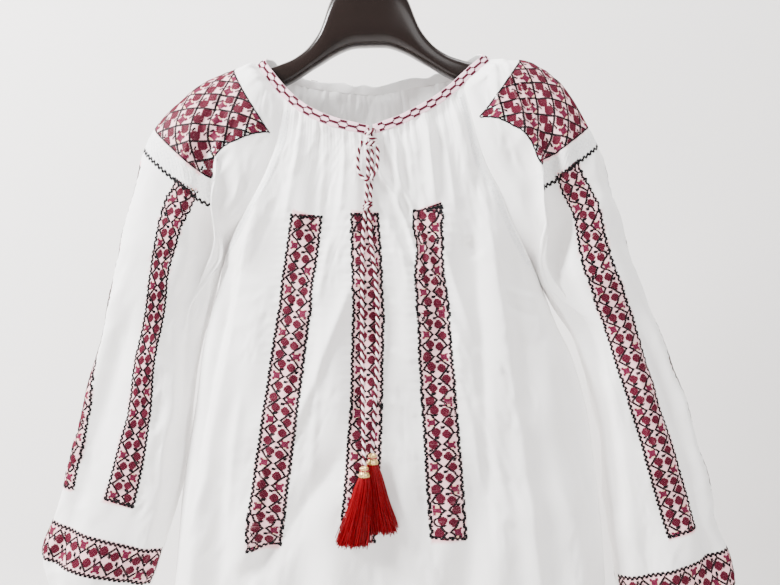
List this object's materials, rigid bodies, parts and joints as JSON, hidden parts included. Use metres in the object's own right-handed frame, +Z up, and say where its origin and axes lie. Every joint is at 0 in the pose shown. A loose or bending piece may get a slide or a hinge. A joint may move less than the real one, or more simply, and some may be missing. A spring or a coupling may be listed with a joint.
{
  "type": "embroidered blouse on a hanger",
  "caption": "Gathered raglan peasant blouse with cross-stitch bands, drawstring neck and tassels, hung on a contoured hanger.",
  "frame": {"origin": "inner top of the hanger's hook, where a rail carries it", "axes": "+Z up; -Y is the blouse's front; +X is the viewer's right from the front"},
  "size_m": [0.7697, 0.1286, 0.8552],
  "materials": {
    "cotton": "white cotton with a soft sheen",
    "neckband": "white cotton band with a red chain of stitches",
    "cord": "twisted white and dark red cotton",
    "tassel": "glossy red thread",
    "bead": "gold-coloured metal with dark red beads",
    "plastic": "glossy dark brown",
    "steel": "bright"
  },
  "bodies": {
    "root": {"front": "cotton", "back": "cotton", "sleeve_left": "cotton", "sleeve_left_elbow": "cotton", "sleeve_left_forearm": "cotton", "sleeve_right": "cotton", "sleeve_right_elbow": "cotton", "sleeve_right_forearm": "cotton", "cuff_left": "cotton", "cuff_right": "cotton", "neckband": "neckband", "hanger": "plastic", "hanger_hook": "steel", "tie_knot": "cord", "drawstring_left": "cord", "drawstring_right": "cord", "drawstring_loop": "cord", "cap_left": "bead", "cap_right": "bead", "tassel_left": "tassel", "tassel_right": "tassel"}
  },
  "joints": []
}
